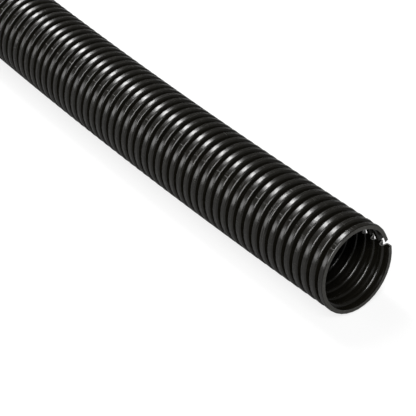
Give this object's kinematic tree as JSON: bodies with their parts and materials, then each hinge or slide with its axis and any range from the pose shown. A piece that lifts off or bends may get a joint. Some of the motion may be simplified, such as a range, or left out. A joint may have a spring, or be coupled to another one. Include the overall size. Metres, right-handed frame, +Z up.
{
  "type": "corrugated conduit",
  "caption": "Slit corrugated conduit: a thin-walled plastic tube with ring-shaped corrugations and a lengthwise slit for laying cables in from the side.",
  "frame": {"origin": "on the floor, midway along the tube and below its axis (centre of the bounding box's bottom face)", "axes": "+X along the tube's axis, +Z up, the slit opens towards +Y and upwards"},
  "size_m": [1, 0.0344, 0.0345],
  "materials": {
    "conduit_plastic": "satin black moulded polypropylene"
  },
  "bodies": {
    "root": {"conduit": "conduit_plastic"}
  },
  "joints": []
}
